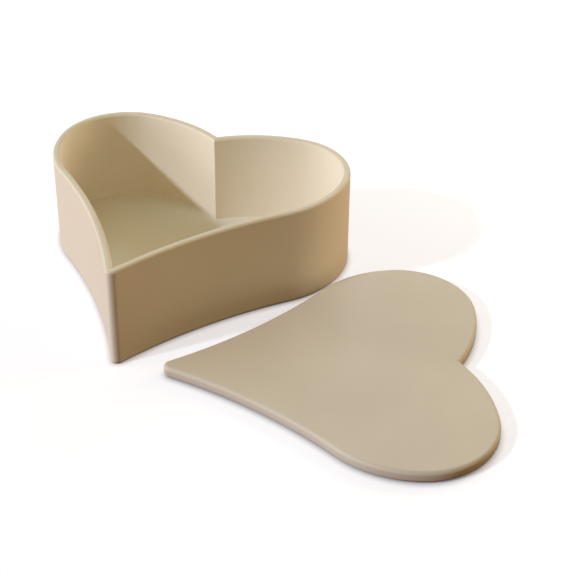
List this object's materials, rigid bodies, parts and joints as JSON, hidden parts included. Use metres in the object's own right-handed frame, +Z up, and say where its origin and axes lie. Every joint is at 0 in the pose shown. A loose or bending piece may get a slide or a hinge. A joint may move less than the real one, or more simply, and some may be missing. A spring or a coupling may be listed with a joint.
{
  "type": "heart-shaped keepsake box with loose lid",
  "caption": "Open heart-shaped keepsake box cast in one piece, with a loose flat lid that lies beside it and locates on the rim by a shallow step.",
  "frame": {"origin": "centre of the box's underside: the middle of its width and of its length", "axes": "+Z up; the heart's tip points along -Y; +X is the right lobe as seen from the tip"},
  "size_m": [0.2011, 0.1433, 0.04],
  "materials": {
    "cast_cream_box": "matt, smooth cast surface",
    "cast_cream_lid": "matt, smooth cast surface"
  },
  "bodies": {
    "box": {"box_body": "cast_cream_box"},
    "lid": {"lid": "cast_cream_lid"}
  },
  "joints": [
    {"name": "lid_lift", "type": "slide", "parent": "box", "child": "lid", "axis": [0, 0, 1], "range_m": [0, 0.06]}
  ]
}
